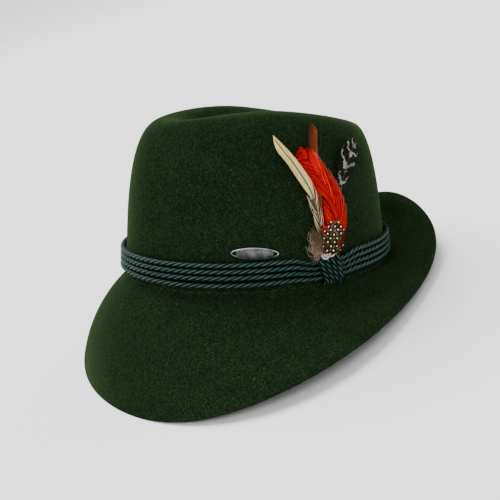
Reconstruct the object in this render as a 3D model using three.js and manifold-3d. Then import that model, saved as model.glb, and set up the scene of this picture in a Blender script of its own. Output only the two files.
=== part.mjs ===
import * as THREE from "three";
import { mergeVertices } from "three/addons/utils/BufferGeometryUtils.js";
import Module from "manifold-3d";

// Tyrolean hat in millimetres, +Z up, standing on its brim as it would on a table.
// It is drawn level first: Z is 0 at the bend between crown and brim, the front of the brim
// points to -Y and the wearer's left to +X. Then it is leaned back until front and back touch.
// A turn goes around the head in radians, 0 at the front, a quarter at the wearer's left.

// Felt
const HEAD_LENGTH = 197.6; // inside, at the bend
const HEAD_WIDTH = 165.6;
const FELT_WALL = 2.2;
const CROWN_HEIGHT = 116.5; // crest above the bend, at the side
const SHOULDER_POWER = 3.08; // higher is squarer
const DENT_DEPTH = 24; // floor below the side crest
const DENT_FLOOR_SHARE = 0.42; // length of the dent's floor line, of the crest's
const DENT_POWER = 1.6;
const BRIM_WIDTH = 82.4; // at the front, measured along the felt
const BEND_RADIUS = 3;
const FLATTENED = 1.1; // felt pressed flat where the hat rests

// The crown from front to back, the same on both sides: crest height as a share of CROWN_HEIGHT,
// taper of the wall and size of the crest as shares of the oval at the bend.
const CROWN_STATIONS = [
  { turn: 0, height: 0.959, taper: 0.067, crest: 0.628 },
  { turn: 45, height: 0.992, taper: 0.066, crest: 0.523 },
  { turn: 90, height: 1.0, taper: 0.072, crest: 0.443 },
  { turn: 135, height: 0.935, taper: 0.093, crest: 0.607 },
  { turn: 180, height: 0.866, taper: 0.105, crest: 0.747 },
];

// The brim from front to back: width as a share of BRIM_WIDTH, slope in degrees above level
// where it leaves the bend and at its edge, and how far its margin rolls outwards again.
const BRIM_STATIONS = [
  { turn: 0, width: 1.0, slopeIn: -46.7, slopeOut: -86.1, roll: 0 },
  { turn: 45, width: 1.013, slopeIn: -38.1, slopeOut: -62.2, roll: 0 },
  { turn: 90, width: 0.714, slopeIn: -36.6, slopeOut: 1.8, roll: 5 },
  { turn: 135, width: 0.477, slopeIn: -4.2, slopeOut: 44.9, roll: 30 },
  { turn: 180, width: 0.623, slopeIn: 18.0, slopeOut: 125.1, roll: 35 },
];
const ROLL_START = 0.7; // share of the brim's width where the margin starts to roll

// Cord rows and their knot
const CORD_DIAMETER = 3.9;
const GAP = 0.3; // clearance between pieces that touch
const BAND_HEIGHT = 14.3; // middle of the four rows above the bend, at the front
const BAND_BACK_RISE = 1.6;
const ROW_COUNT = 4;
const ROW_SLACK = 0.8; // extra space over the lowest row, on the wearer's left front
const SLACK_TURN = 50;
const SLACK_SPREAD = 30;
const KNOT_TURN = 96;
const KNOT_WRAPS = 4;
const WRAP_WIDTH = 4.9;
const WRAP_PITCH = 4.4;
const WRAP_THICKNESS = 3.2;
const WRAP_PINCH = 0.55; // a wrap's thickness above and below the rows, as a share
const WRAP_LEAN = 1.5; // how far a wrap's top leans forward and its foot back
const WRAP_FAN = 0.86; // the wraps' pitch at the foot, of that at the top
const KNOT_SQUEEZE = 0.8; // rows under the knot, as a share of their size
const KNOT_DROP = 2.4; // how far the knot pulls the rows down
const KNOT_RELEASE = 10; // degrees over which the rows spread again

// Badge
const BADGE_LENGTH = 33;
const BADGE_WIDTH = 8;
const BADGE_THICKNESS = 1.3;
const BADGE_BEVEL = 0.6;
const BADGE_TURN = 66.4;
const BADGE_HEIGHT = 28;
const BADGE_TILT = 3.6; // degrees, its back end lower
const BADGE_TIP = 0.16; // half height of its blunt tips, as a share of its width
const BADGE_HOLE_LENGTH = 3;
const BADGE_HOLE_WIDTH = 3.4;
const BADGE_HOLE_MARGIN = 1.1; // metal left outside a hole, at the tip

// Plume: every feather lies in its own layer over the crown, and all lift away towards the top
const PLUME_SHARE = 0.738; // length of the longest feather, of the crown's height
const VANE = 0.7;
const SHAFT_RISE = 0.3;
const DOWN_THICKNESS = 1.5;
const PLUME_LIFT = 11; // extra distance from the felt one crown height up
const PLUME_STIFFNESS = 0.2; // how little the feathers bend around the crown

// The feathers from the felt outwards, layer 0 next to it: root, length and width are shares of the
// longest one's length, aside and rise of a feather's own length, left and right of its width.
const FEATHERS = [
  {
    name: "feather_barred",
    colour: 0x2a2622,
    layer: 0,
    root: 0.02,
    length: 0.95,
    width: 0.21,
    thickness: VANE,
    locks: 7,
    notch: 0.5,
    sweep: 0.4,
    rows: [
      { aside: 0, rise: 0, left: 0.05, right: 0.05 },
      { aside: 0.06, rise: 0.2, left: 0.09, right: 0.09 },
      { aside: 0.14, rise: 0.44, left: 0.32, right: 0.28 },
      { aside: 0.215, rise: 0.6, left: 0.56, right: 0.34 },
      { aside: 0.32, rise: 0.74, left: 0.5, right: 0.4 },
      { aside: 0.41, rise: 0.82, left: 0.34, right: 0.34 },
      { aside: 0.46, rise: 0.88, left: 0, right: 0 },
    ],
  },
  {
    name: "feather_brown",
    colour: 0x7a3a1c,
    layer: 0,
    root: -0.023,
    length: 0.955,
    width: 0.098,
    thickness: VANE,
    locks: 6,
    notch: 0.1,
    sweep: 0.5,
    rows: [
      { aside: 0, rise: 0, left: 0.08, right: 0.08 },
      { aside: -0.01, rise: 0.2, left: 0.1, right: 0.1 },
      { aside: -0.03, rise: 0.45, left: 0.28, right: 0.28 },
      { aside: -0.04, rise: 0.65, left: 0.42, right: 0.42 },
      { aside: -0.04, rise: 0.79, left: 0.46, right: 0.46 },
      { aside: -0.022, rise: 0.9, left: 0.46, right: 0.46 },
      { aside: 0.015, rise: 0.975, left: 0.4, right: 0.42 },
      { aside: 0.03, rise: 1, left: 0, right: 0 },
    ],
  },
  {
    name: "feather_red",
    colour: 0xc01c18,
    layer: 1,
    root: -0.005,
    length: 0.86,
    width: 0.29,
    thickness: VANE,
    locks: 8,
    notch: 0.24,
    sweep: 0.3,
    rows: [
      { aside: 0, rise: 0, left: 0.05, right: 0.06 },
      { aside: 0.06, rise: 0.07, left: 0.12, right: 0.34 },
      { aside: 0.11, rise: 0.18, left: 0.3, right: 0.36 },
      { aside: 0.13, rise: 0.35, left: 0.46, right: 0.46 },
      { aside: 0.07, rise: 0.54, left: 0.44, right: 0.44 },
      { aside: -0.045, rise: 0.71, left: 0.4, right: 0.42 },
      { aside: -0.15, rise: 0.83, left: 0.46, right: 0.4 },
      { aside: -0.205, rise: 0.905, left: 0.42, right: 0.3 },
      { aside: -0.235, rise: 0.95, left: 0, right: 0 },
    ],
  },
  {
    name: "feather_cream",
    colour: 0xcfc49a,
    layer: 2,
    root: -0.035,
    length: 1,
    width: 0.112,
    thickness: VANE,
    locks: 8,
    notch: 0.06,
    sweep: 0.4,
    rows: [
      { aside: 0, rise: 0, left: 0.08, right: 0.08 },
      { aside: -0.02, rise: 0.12, left: 0.14, right: 0.14 },
      { aside: -0.042, rise: 0.24, left: 0.34, right: 0.38 },
      { aside: -0.065, rise: 0.365, left: 0.46, right: 0.5 },
      { aside: -0.1, rise: 0.48, left: 0.44, right: 0.5 },
      { aside: -0.15, rise: 0.575, left: 0.38, right: 0.44 },
      { aside: -0.25, rise: 0.715, left: 0.4, right: 0.36 },
      { aside: -0.36, rise: 0.83, left: 0.3, right: 0.26 },
      { aside: -0.405, rise: 0.895, left: 0, right: 0 },
    ],
  },
  {
    name: "feather_down",
    colour: 0x8d7358,
    layer: 3,
    root: -0.051,
    length: 0.21,
    width: 0.163,
    thickness: DOWN_THICKNESS,
    locks: 5,
    notch: 0.3,
    sweep: 0.2,
    rows: [
      { aside: 0, rise: 0, left: 0.16, right: 0.16 },
      { aside: -0.12, rise: 0.22, left: 0.5, right: 0.42 },
      { aside: -0.28, rise: 0.52, left: 0.5, right: 0.5 },
      { aside: -0.42, rise: 0.82, left: 0.34, right: 0.38 },
      { aside: -0.48, rise: 0.98, left: 0, right: 0 },
    ],
  },
  {
    name: "feather_spotted",
    colour: 0x4a3a24,
    layer: 4,
    root: -0.023,
    length: 0.273,
    width: 0.279,
    thickness: VANE,
    locks: 6,
    notch: 0.14,
    sweep: 0.2,
    rows: [
      { aside: 0, rise: 0, left: 0.1, right: 0.12 },
      { aside: 0.06, rise: 0.2, left: 0.28, right: 0.36 },
      { aside: 0.15, rise: 0.5, left: 0.46, right: 0.42 },
      { aside: 0.22, rise: 0.8, left: 0.42, right: 0.34 },
      { aside: 0.27, rise: 1, left: 0, right: 0 },
    ],
  },
];

// How finely the faceted pieces are drawn
const COLUMNS = 56;
const WALL_RINGS = 10;
const DENT_RINGS = 5;
const BEND_RINGS = 3;
const BRIM_RINGS = 8;
const CORD_STEPS = 52;
const CORD_SIDES = 8;
const WRAP_SIDES = 10;
const WRAP_CORNER_STEPS = 3;
const BADGE_STEPS = 16;

// Sizes worked out from those above
const HALF_LENGTH = HEAD_LENGTH / 2 + FELT_WALL;
const HALF_WIDTH = HEAD_WIDTH / 2 + FELT_WALL;
const PLUME_LENGTH = PLUME_SHARE * CROWN_HEIGHT;
const QUARTER = Math.PI / 2;
const radians = THREE.MathUtils.degToRad;
const { smoothstep, lerp } = THREE.MathUtils;

/** A column of a station table at any turn, as one smooth wave, the same on both sides. */
function around(stations, column, turn) {
  const last = stations.length - 1;
  const half = (index) => (index === 0 || index === last ? 0.5 : 1);
  let value = 0;
  for (let wave = 0; wave <= last; wave += 1) {
    let weight = 0;
    stations.forEach((station, index) => {
      weight += half(index) * station[column] * Math.cos(wave * radians(station.turn));
    });
    value += (2 / last) * half(wave) * weight * Math.cos(wave * turn);
  }
  return value;
}

/** Height of the crest above the bend. */
function crestHeight(turn) {
  return CROWN_HEIGHT * around(CROWN_STATIONS, "height", turn);
}

/** Outside of the crown's wall, rise 0 at the bend and 1 at the crest. */
function wallPoint(turn, rise) {
  const taper = around(CROWN_STATIONS, "taper", turn);
  const crest = around(CROWN_STATIONS, "crest", turn);
  const shoulder = 1 - (1 - rise ** SHOULDER_POWER) ** (1 / SHOULDER_POWER);
  const share = 1 - taper * rise - (1 - taper - crest) * shoulder;
  return new THREE.Vector3(
    HALF_WIDTH * share * Math.sin(turn),
    -HALF_LENGTH * share * Math.cos(turn),
    crestHeight(turn) * rise,
  );
}

/** Outside of the crown's top, inward 1 at the crest and 0 at the dent's floor line. */
function dentPoint(turn, inward) {
  const crest = wallPoint(turn, 1);
  const floor = CROWN_HEIGHT - DENT_DEPTH;
  const climb = inward ** DENT_POWER * (1 + DENT_POWER * (1 - inward));
  return new THREE.Vector3(
    crest.x * inward,
    crest.y * lerp(DENT_FLOOR_SHARE, 1, inward),
    lerp(floor, crest.z, climb),
  );
}

/** Level direction pointing straight out of the bend's oval. */
function outward(turn) {
  return new THREE.Vector3(Math.sin(turn) / HALF_WIDTH, -Math.cos(turn) / HALF_LENGTH, 0).normalize();
}

/** Slope of the brim, in radians above level, at a share of its width. */
function brimSlope(turn, share) {
  const slope = lerp(around(BRIM_STATIONS, "slopeIn", turn), around(BRIM_STATIONS, "slopeOut", turn), share);
  const roll = around(BRIM_STATIONS, "roll", turn) * smoothstep(share, ROLL_START, 1);
  return radians(slope - roll);
}

/** Outside of the bend and the top of the brim at one turn, from the wall's foot to the edge. */
function brimColumn(turn) {
  const out = outward(turn);
  const points = [];
  const bendAngle = brimSlope(turn, 0) + QUARTER;
  const tangent = BEND_RADIUS * Math.tan(bendAngle / 2);
  const foot = wallPoint(turn, 0);
  const centre = foot.clone().addScaledVector(out, BEND_RADIUS).setZ(tangent);
  for (let step = 1; step <= BEND_RINGS; step += 1) {
    const angle = (bendAngle * step) / BEND_RINGS;
    const point = centre.clone().addScaledVector(out, -BEND_RADIUS * Math.cos(angle));
    point.z -= BEND_RADIUS * Math.sin(angle);
    points.push(point);
  }
  const width = BRIM_WIDTH * around(BRIM_STATIONS, "width", turn) - tangent;
  const stride = width / BRIM_RINGS;
  const pen = points[points.length - 1].clone();
  for (let step = 0; step < BRIM_RINGS; step += 1) {
    const slope = brimSlope(turn, (step + 0.5) / BRIM_RINGS);
    pen.addScaledVector(out, stride * Math.cos(slope));
    pen.z += stride * Math.sin(slope);
    points.push(pen.clone());
  }
  return points;
}

/** The felt's outside at one turn, from the dent's floor over the crest and down to the brim's edge. */
function feltColumn(turn) {
  const points = [];
  for (let ring = 0; ring < DENT_RINGS; ring += 1) {
    points.push(dentPoint(turn, ring / DENT_RINGS));
  }
  const bendTop = BEND_RADIUS * Math.tan((brimSlope(turn, 0) + QUARTER) / 2);
  const lowest = bendTop / crestHeight(turn);
  for (let ring = 0; ring <= WALL_RINGS; ring += 1) {
    const wave = Math.cos((QUARTER * ring) / WALL_RINGS) ** (2 / SHOULDER_POWER);
    points.push(wallPoint(turn, lerp(lowest, 1, wave)));
  }
  return points.concat(brimColumn(turn));
}

/** Rings of points moved along the surface's normal, to the inside of the felt. */
function insideOf(rings) {
  const count = rings[0].length;
  return rings.map((ring, row) =>
    ring.map((point, column) => {
      if (row === 0) {
        return point.clone().setZ(point.z - FELT_WALL);
      }
      const after = ring[(column + 1) % count];
      const before = ring[(column + count - 1) % count];
      const above = rings[row - 1][column];
      const below = rings[Math.min(row + 1, rings.length - 1)][column];
      const along = new THREE.Vector3().subVectors(after, before);
      const down = new THREE.Vector3().subVectors(below, above);
      const normal = new THREE.Vector3().crossVectors(down, along).normalize();
      return point.clone().addScaledVector(normal, -FELT_WALL);
    }),
  );
}

/** Closed body over rows of points, each row a ring, with triangles that vanish left out. */
function skin(rows, loop = false) {
  const size = rows[0].length;
  const positions = rows.flat().flatMap((point) => [point.x, point.y, point.z]);
  const index = [];
  const gaps = loop ? rows.length : rows.length - 1;
  for (let row = 0; row < gaps; row += 1) {
    const next = (row + 1) % rows.length;
    for (let column = 0; column < size; column += 1) {
      const right = (column + 1) % size;
      const corners = [row * size + column, row * size + right, next * size + right, next * size + column];
      index.push(corners[0], corners[1], corners[2], corners[0], corners[2], corners[3]);
    }
  }
  const geometry = new THREE.BufferGeometry();
  geometry.setAttribute("position", new THREE.Float32BufferAttribute(positions, 3));
  geometry.setIndex(index);
  return facingOut(geometry);
}

/** The same body with its corners merged, no vanished triangles and every face pointing out. */
function facingOut(geometry) {
  geometry.deleteAttribute("normal");
  geometry.deleteAttribute("uv");
  const merged = mergeVertices(geometry, 1e-3);
  const corners = merged.index.array;
  const position = merged.getAttribute("position");
  const [a, b, c] = [new THREE.Vector3(), new THREE.Vector3(), new THREE.Vector3()];
  const kept = [];
  let volume = 0;
  for (let at = 0; at < corners.length; at += 3) {
    const [i, j, k] = corners.slice(at, at + 3);
    if (i !== j && j !== k && k !== i) {
      kept.push(i, j, k);
      a.fromBufferAttribute(position, i);
      b.fromBufferAttribute(position, j);
      c.fromBufferAttribute(position, k);
      volume += a.dot(b.cross(c));
    }
  }
  if (volume < 0) {
    kept.reverse();
  }
  merged.setIndex(kept);
  return merged;
}

const wasm = await Module();
wasm.setup();

/** A closed geometry as a solid that can be joined and cut. */
function toSolid(geometry) {
  const vertProperties = Float32Array.from(geometry.getAttribute("position").array);
  const triVerts = Uint32Array.from(geometry.index.array);
  return new wasm.Manifold(new wasm.Mesh({ numProp: 3, vertProperties, triVerts }));
}

/** A joined or cut solid as a geometry again. */
function fromSolid(solid) {
  const mesh = solid.getMesh();
  const geometry = new THREE.BufferGeometry();
  geometry.setAttribute("position", new THREE.Float32BufferAttribute(mesh.vertProperties, 3));
  geometry.setIndex(Array.from(mesh.triVerts));
  return facingOut(geometry);
}

/** Place on the crown at a turn and a height above the bend, lifted off the felt. */
function onCrown(turn, height, lift) {
  const step = 1e-3;
  const rise = height / crestHeight(turn);
  const point = wallPoint(turn, rise);
  const along = wallPoint(turn + step, rise).sub(wallPoint(turn - step, rise));
  const up = wallPoint(turn, Math.min(rise + step, 1)).sub(wallPoint(turn, Math.max(rise - step, 0)));
  return point.addScaledVector(along.cross(up).normalize(), lift);
}

/** Turn of a place that lies a distance behind another one, around the wearer's left side. */
function turnFrom(start, aside) {
  return radians(start) + aside / HALF_LENGTH;
}

/** How strongly the knot holds the rows at a turn: 1 under it, 0 away from it. */
function knotGrip(turn) {
  const halfKnot = (KNOT_WRAPS * WRAP_PITCH) / 2 + WRAP_LEAN;
  const away = THREE.MathUtils.radToDeg(Math.abs(turn - radians(KNOT_TURN)) - halfKnot / HALF_LENGTH);
  return 1 - smoothstep(away, 0, KNOT_RELEASE);
}

/** Diameter of a row and the height of its middle, both drawn in by the knot. */
function rowAt(row, turn) {
  const grip = knotGrip(turn);
  const diameter = CORD_DIAMETER * lerp(1, KNOT_SQUEEZE, grip);
  const middle = BAND_HEIGHT + (BAND_BACK_RISE * (1 - Math.cos(turn))) / 2 - KNOT_DROP * grip;
  const apart = (ROW_COUNT - 1) / 2 - row;
  const slackAway = (turn - radians(SLACK_TURN)) / radians(SLACK_SPREAD);
  const slack = row === ROW_COUNT - 1 ? ROW_SLACK * Math.exp(-slackAway * slackAway) : 0;
  return { diameter, height: middle + apart * (diameter + GAP) - slack };
}

/** One row of cord, a whole loop around the crown. */
function cordRow(row) {
  const sections = [];
  for (let step = 0; step < CORD_STEPS; step += 1) {
    const turn = (2 * Math.PI * step) / CORD_STEPS;
    const { diameter, height } = rowAt(row, turn);
    const section = [];
    for (let side = 0; side < CORD_SIDES; side += 1) {
      const angle = (2 * Math.PI * side) / CORD_SIDES;
      const lift = GAP + (diameter / 2) * (1 + Math.cos(angle));
      section.push(onCrown(turn, height + (diameter / 2) * Math.sin(angle), lift));
    }
    sections.push(section);
  }
  return skin(sections, true);
}

/** Top and foot of the cord rows under the knot. */
function gripBand() {
  const turn = radians(KNOT_TURN);
  const top = rowAt(0, turn);
  const foot = rowAt(ROW_COUNT - 1, turn);
  return { top: top.height + top.diameter / 2, foot: foot.height - foot.diameter / 2, depth: top.diameter };
}

/** Thickness of a wrap where its route heads up (0), over the rows (a quarter) or down (a half turn). */
function wrapThickness(heading) {
  return WRAP_THICKNESS * lerp(WRAP_PINCH, 1, Math.sin(heading));
}

/** Headings of a wrap as it turns over the edge of the rows. */
function cornerHeadings() {
  const steps = Array.from({ length: WRAP_CORNER_STEPS + 1 }, (_, step) => step);
  return steps.map((step) => (QUARTER * step) / WRAP_CORNER_STEPS);
}

/** One wrap of the knot: up out of the felt, down over the rows and back in under them. */
function knotWrap(wrap) {
  const band = gripBand();
  const top = band.top + GAP;
  const foot = band.foot - GAP;
  const front = GAP + band.depth + GAP;
  const route = [{ height: top, lift: GAP, heading: 0 }];
  for (const swing of cornerHeadings()) {
    route.push({ height: top, lift: front, heading: swing });
  }
  for (const swing of cornerHeadings()) {
    route.push({ height: foot, lift: front, heading: swing + QUARTER });
  }
  route.push({ height: foot, lift: GAP, heading: Math.PI });
  const place = (wrap - (KNOT_WRAPS - 1) / 2) * WRAP_PITCH;
  const sections = route.map(({ height, lift, heading }) => {
    const half = wrapThickness(heading) / 2;
    const climb = (height - foot) / (top - foot);
    const middle = place * lerp(WRAP_FAN, 1, climb) + WRAP_LEAN * (1 - 2 * climb);
    const section = [];
    for (let side = 0; side < WRAP_SIDES; side += 1) {
      const angle = (2 * Math.PI * side) / WRAP_SIDES;
      const thick = half * (1 + Math.sin(angle));
      const turn = turnFrom(KNOT_TURN, middle + (WRAP_WIDTH / 2) * Math.cos(angle));
      section.push(onCrown(turn, height + thick * Math.cos(heading), lift + thick * Math.sin(heading)));
    }
    return section;
  });
  return skin(closedEnds(sections));
}

/** Rows with both ends drawn in to their middle, which closes them. */
function closedEnds(rows) {
  const middle = (row) => {
    const sum = row.reduce((total, point) => total.add(point), new THREE.Vector3());
    return row.map(() => sum.clone().divideScalar(row.length));
  };
  if (rows[0].every((point) => point.distanceTo(rows[0][0]) < 1e-6)) {
    return rows;
  }
  return [middle(rows[0]), ...rows, middle(rows[rows.length - 1])];
}

/** The knot's wraps joined into one body. */
function knot() {
  let solid = toSolid(knotWrap(0));
  for (let wrap = 1; wrap < KNOT_WRAPS; wrap += 1) {
    solid = solid.add(toSolid(knotWrap(wrap)));
  }
  return fromSolid(solid);
}

/** Place on the badge, along and across it from its middle, lifted off the felt. */
function onBadge(along, across, lift) {
  const tilt = radians(BADGE_TILT);
  const aside = along * Math.cos(tilt) + across * Math.sin(tilt);
  const height = BADGE_HEIGHT + across * Math.cos(tilt) - along * Math.sin(tilt);
  return onCrown(turnFrom(BADGE_TURN, aside), height, GAP + lift);
}

/** The pointed oval plate with a pierced triangle at each end. */
function badge() {
  const sections = [];
  for (let step = 0; step <= BADGE_STEPS; step += 1) {
    const share = -Math.cos((Math.PI * step) / BADGE_STEPS);
    const halfHeight = BADGE_WIDTH * lerp(BADGE_TIP, 0.5, 1 - share * share);
    const along = (BADGE_LENGTH / 2) * share;
    const inner = along * (1 - (2 * BADGE_BEVEL) / BADGE_LENGTH);
    const flat = halfHeight - BADGE_BEVEL;
    const edge = BADGE_THICKNESS - BADGE_BEVEL;
    sections.push([
      onBadge(along, -halfHeight, 0),
      onBadge(along, -halfHeight, edge),
      onBadge(inner, -flat, BADGE_THICKNESS),
      onBadge(inner, flat, BADGE_THICKNESS),
      onBadge(along, halfHeight, edge),
      onBadge(along, halfHeight, 0),
    ]);
  }
  let solid = toSolid(skin(closedEnds(sections)));
  for (const end of [-1, 1]) {
    const tip = BADGE_LENGTH / 2 - BADGE_HOLE_MARGIN;
    const outline = [
      [end * tip, 0],
      [end * (tip - BADGE_HOLE_LENGTH), -BADGE_HOLE_WIDTH / 2],
      [end * (tip - BADGE_HOLE_LENGTH), BADGE_HOLE_WIDTH / 2],
    ];
    const through = [-GAP, BADGE_THICKNESS + GAP];
    const rows = through.map((lift) => outline.map(([along, across]) => onBadge(along, across, lift)));
    solid = solid.subtract(toSolid(skin(closedEnds(rows))));
  }
  return fromSolid(solid);
}

/** Place in the plume, measured from the knot's middle, in a layer of feathers. */
function onPlume(aside, height, depth) {
  const root = gripBand().top;
  const climb = Math.max(0, height - root) / CROWN_HEIGHT;
  const spring = (PLUME_STIFFNESS * aside * aside) / (2 * HALF_LENGTH);
  return onCrown(turnFrom(KNOT_TURN, aside), height, GAP + depth + PLUME_LIFT * climb * climb + spring);
}

/** Height of the knot's top, where the feathers come out. */
function knotTop() {
  const rises = cornerHeadings().map((heading) => wrapThickness(heading) * Math.cos(heading));
  return gripBand().top + GAP + Math.max(...rises);
}

/** Distance from the innermost feathers' backs to the back of a layer, over all the layers between. */
function layerDepth(layer) {
  let depth = 0;
  for (let under = 0; under < layer; under += 1) {
    const plans = FEATHERS.filter((plan) => plan.layer === under);
    depth += Math.max(...plans.map((plan) => plan.thickness)) + SHAFT_RISE + GAP;
  }
  return depth;
}

/** One feather: a vane with locks along both edges, joined to a raised shaft. */
function feather({ layer, root, length, width, thickness, locks, notch, sweep, rows }) {
  const spine = new THREE.CatmullRomCurve3(rows.map((row) => new THREE.Vector3(row.aside, row.rise, 0)));
  const edges = new THREE.CatmullRomCurve3(rows.map((row) => new THREE.Vector3(row.left, row.right, 0)));
  const rootHeight = knotTop() + GAP;
  const depth = layerDepth(layer);
  const count = 2 * locks;
  const sections = [];
  for (let station = 0; station <= count; station += 1) {
    const share = station / count;
    const heading = spine.getTangent(share);
    const middle = spine.getPoint(share).multiplyScalar(length * PLUME_LENGTH);
    const reach = edges.getPoint(share).multiplyScalar(width * PLUME_LENGTH);
    const lock = station % 2 === 1 ? 1 : 1 - notch;
    const left = Math.max(0, reach.x) * lock;
    const right = Math.max(0, reach.y) * lock;
    const place = (sideways, above) => {
      const swept = sweep * Math.abs(sideways) * lock;
      const aside = root * PLUME_LENGTH + middle.x + heading.y * sideways + heading.x * swept;
      const height = rootHeight + middle.y - heading.x * sideways + heading.y * swept;
      return onPlume(aside, height, depth + above);
    };
    const full = station === 0 || station === count ? thickness / 2 : thickness;
    const ridge = full + SHAFT_RISE * (1 - share);
    sections.push([
      place(-left, full / 2),
      place(-left / 2, 0),
      place(0, 0),
      place(right / 2, 0),
      place(right, full / 2),
      place(right / 2, full),
      place(0, ridge),
      place(-left / 2, full),
    ]);
  }
  return skin(closedEnds(sections));
}

/** Angle that leans the hat back until its front and its back stand on one level. */
function restingLean(points) {
  let low = 0;
  let high = QUARTER / 2;
  for (let pass = 0; pass < 40; pass += 1) {
    const lean = (low + high) / 2;
    const lowest = { front: Infinity, back: Infinity };
    for (const point of points) {
      const end = point.y < 0 ? "front" : "back";
      lowest[end] = Math.min(lowest[end], floorHeight(point, lean));
    }
    if (lowest.front < lowest.back) {
      low = lean;
    } else {
      high = lean;
    }
  }
  return low;
}

/** Height of a point of the level hat once it leans back. */
function floorHeight(point, lean) {
  return point.z * Math.cos(lean) - point.y * Math.sin(lean);
}

/** The felt as one hollow wall, pressed flat where it rests, and the angle it rests at. */
function felt() {
  const columns = [];
  for (let column = 0; column < COLUMNS; column += 1) {
    columns.push(feltColumn((2 * Math.PI * column) / COLUMNS));
  }
  const outside = columns[0].map((_, row) => columns.map((column) => column[row]));
  const inside = insideOf(outside);
  const rows = [...outside, ...inside.reverse()];
  const points = rows.flat();
  const lean = restingLean(points);
  const lowest = Math.min(...points.map((point) => floorHeight(point, lean)));
  const table = lowest + FLATTENED;
  for (const point of points) {
    const below = table - floorHeight(point, lean);
    if (below > 0) {
      point.y -= below * Math.sin(lean);
      point.z += below * Math.cos(lean);
    }
  }
  return { geometry: skin(rows), lean };
}

/** A named piece with its own finish. */
function piece(name, geometry, finish) {
  geometry.computeVertexNormals();
  const mesh = new THREE.Mesh(geometry, new THREE.MeshStandardMaterial(finish));
  mesh.name = name;
  return mesh;
}

const hat = new THREE.Group();
const shell = felt();
hat.add(piece("felt_body", shell.geometry, { color: 0x1c2a1a, roughness: 0.95, metalness: 0 }));
for (let row = 0; row < ROW_COUNT; row += 1) {
  const finish = { color: 0x1f4a3e, roughness: 0.5, metalness: 0 };
  hat.add(piece(`cord_row_${row + 1}`, cordRow(row), finish));
}
hat.add(piece("cord_knot", knot(), { color: 0x1f4a3e, roughness: 0.5, metalness: 0 }));
hat.add(piece("badge_plate", badge(), { color: 0x9c9c96, roughness: 0.4, metalness: 0.9 }));
for (const plan of FEATHERS) {
  hat.add(piece(plan.name, feather(plan), { color: plan.colour, roughness: 0.8, metalness: 0 }));
}
hat.rotation.x = -shell.lean;

// The part's origin is the middle of its box, on the surface it rests on
const part = new THREE.Group();
part.add(hat);
part.updateMatrixWorld(true);
const box = new THREE.Box3().setFromObject(part, true);
const centre = box.getCenter(new THREE.Vector3());
hat.position.set(-centre.x, -centre.y, -box.min.z);
part.updateMatrixWorld(true);

export default part;
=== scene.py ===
"""A tyrolean hat dressed for the picture: felt, twisted cord, stitches, badge and plume."""
from math import atan2, cos, pi, radians, sin, sqrt

import bpy
import numpy as np
from mathutils import Matrix, Vector
from mathutils.kdtree import KDTree


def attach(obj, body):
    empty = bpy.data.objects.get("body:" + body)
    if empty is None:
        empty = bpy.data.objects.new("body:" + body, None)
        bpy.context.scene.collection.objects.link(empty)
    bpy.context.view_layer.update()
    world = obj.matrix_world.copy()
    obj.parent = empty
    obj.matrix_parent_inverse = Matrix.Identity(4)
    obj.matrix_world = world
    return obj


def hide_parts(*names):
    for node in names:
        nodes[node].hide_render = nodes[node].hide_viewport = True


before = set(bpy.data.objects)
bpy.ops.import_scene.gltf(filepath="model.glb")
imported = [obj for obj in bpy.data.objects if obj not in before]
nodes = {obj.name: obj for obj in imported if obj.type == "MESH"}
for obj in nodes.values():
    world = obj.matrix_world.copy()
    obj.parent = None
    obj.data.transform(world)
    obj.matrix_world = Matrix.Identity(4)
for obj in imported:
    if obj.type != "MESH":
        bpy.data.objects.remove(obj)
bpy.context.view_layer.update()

MM = 0.001
QUARTER = pi / 2
SLOPE_STEP = 1e-3

# The level hat, in mm: Z is 0 at the bend, the front is -Y and the wearer's left is +X.
# It leans back to rest, and then stands at this place in the frame.
LEAN = radians(17.3675)
HAT_PLACE = (0.0, 9.475, 31.202)

# Crown
HEAD_LENGTH = 197.6
HEAD_WIDTH = 165.6
FELT_WALL = 2.2
CROWN_HEIGHT = 116.5
SHOULDER_POWER = 3.08
CREST_HEIGHTS = (0.959, 0.992, 1.0, 0.935, 0.866)
WALL_TAPERS = (0.067, 0.066, 0.072, 0.093, 0.105)
CREST_SIZES = (0.628, 0.523, 0.443, 0.607, 0.747)
HALF_LENGTH = HEAD_LENGTH / 2 + FELT_WALL
HALF_WIDTH = HEAD_WIDTH / 2 + FELT_WALL
GIRTH = 2 * pi * sqrt((HALF_LENGTH ** 2 + HALF_WIDTH ** 2) / 2)

# The brim's edge is rolled down over a band, but not where the brim stands on the floor
ROLL_WIDTH = 10
ROLL_SAMPLE = 1.5 * ROLL_WIDTH  # the felt's upward direction is taken within this
FACING_UP = 0.1
ROLL_DROP = 3.2
ROLL_HEIGHTS = (4, 22)  # the roll sets in between these heights above the floor
EDGE_BEVEL = 0.45

# Cord rows and their knot
CORD_DIAMETER = 3.9
GAP = 0.3
BAND_HEIGHT = 14.3
BAND_BACK_RISE = 1.6
ROW_COUNT = 4
ROW_SLACK = 0.8
SLACK_TURN = 50
SLACK_SPREAD = 30
KNOT_TURN = 96
KNOT_WRAPS = 4
WRAP_PITCH = 4.4
WRAP_LEAN = 1.5
WRAP_FAN = 0.86
WRAP_CORD = 4.3
KNOT_SQUEEZE = 0.8
KNOT_DROP = 2.4
KNOT_RELEASE = 10
KNOT_RISE = 2.15  # the knot's top above the rows
PLIES = 3
CORD_SIDES = 12
PLY_LEAD = 14.6  # length of cord in which a ply goes once around it
KNOT_LEAD = 11.6  # the same in the knot, where the cord is pressed together
PLY_SHARE = 0.49  # a ply's thickness, of the cord's
PLY_STEPS = 14  # points to each turn of a ply
ROW_PHASE = 0.29  # share of a turn by which each row's plies start later than the last one's
WRAP_PHASE = 0.17  # the same for the knot's wraps
WRAP_CLEARANCE = 0.8  # how far a wrap's middle stays off the rows, as a share of its half thickness
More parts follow.
